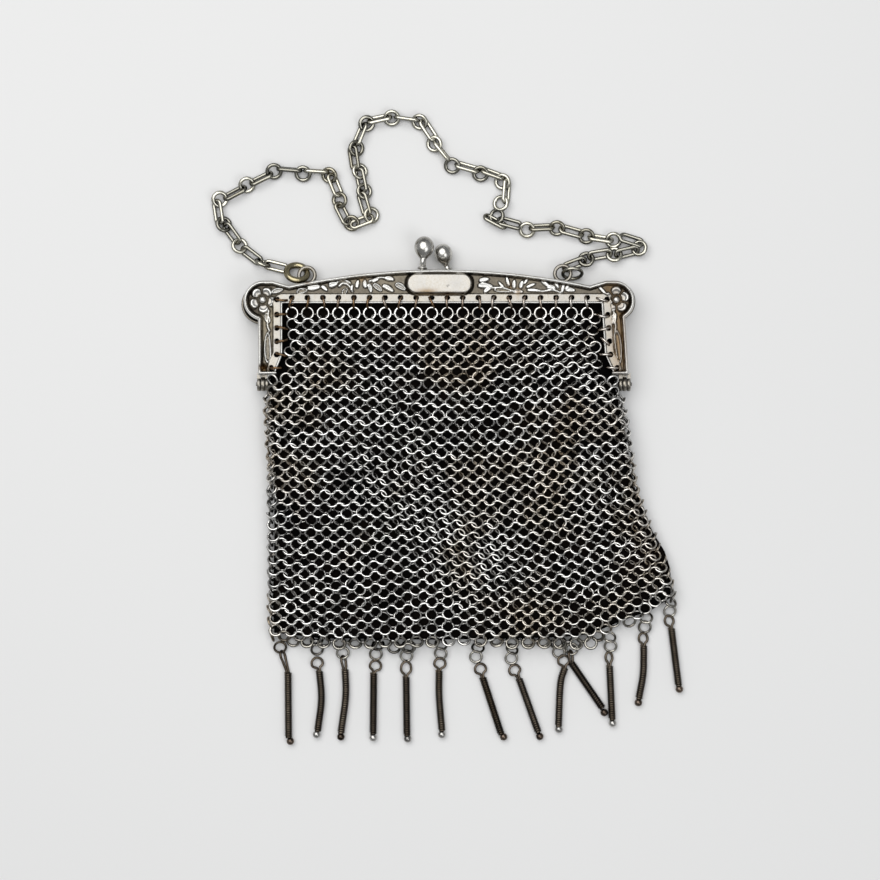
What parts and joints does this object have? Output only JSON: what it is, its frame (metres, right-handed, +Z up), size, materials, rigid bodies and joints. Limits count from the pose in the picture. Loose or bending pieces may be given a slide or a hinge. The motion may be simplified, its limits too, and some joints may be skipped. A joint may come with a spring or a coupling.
{
  "type": "metal mesh purse",
  "caption": "Lady's metal mesh purse lying shut on its back: hinged cast frame with flowers, clasp of two knobs, hollow mail bag, carrying chain on jump rings, fringe of wire-wound drops.",
  "frame": {"origin": "bottom centre of the box round the whole purse, on the surface that it lies on", "axes": "+X across the frame, to the right as seen from the front; +Y from the fringe towards the chain; +Z up out of the front face"},
  "size_m": [0.1176, 0.1596, 0.0083],
  "materials": {
    "frame_silver": "tarnished silver-coloured cast metal",
    "clasp_silver": "worn polish",
    "mail_silver": "dull tarnished wire",
    "chain_dark": "dark tarnished wire with bright wear",
    "ring_brass": "dull brass",
    "drop_blackened": "blackened wound wire",
    "lining_dark": "near-black thin lining cloth, shown in the visual model only"
  },
  "bodies": {
    "root": {"front_frame": "frame_silver", "back_frame": "frame_silver", "clasp_knob_front": "clasp_silver", "clasp_knob_back": "clasp_silver", "hinge_pin_left": "frame_silver", "hinge_pin_right": "frame_silver", "jump_ring_left": "ring_brass", "jump_ring_right": "chain_dark", "carrying_chain": "chain_dark", "mail_bag": "mail_silver", "drop_01": "drop_blackened", "drop_02": "drop_blackened", "drop_03": "drop_blackened", "drop_04": "drop_blackened", "drop_05": "drop_blackened", "drop_06": "drop_blackened", "drop_07": "drop_blackened", "drop_08": "drop_blackened", "drop_09": "drop_blackened", "drop_10": "drop_blackened", "drop_11": "drop_blackened", "drop_12": "drop_blackened", "drop_13": "drop_blackened"}
  },
  "joints": []
}
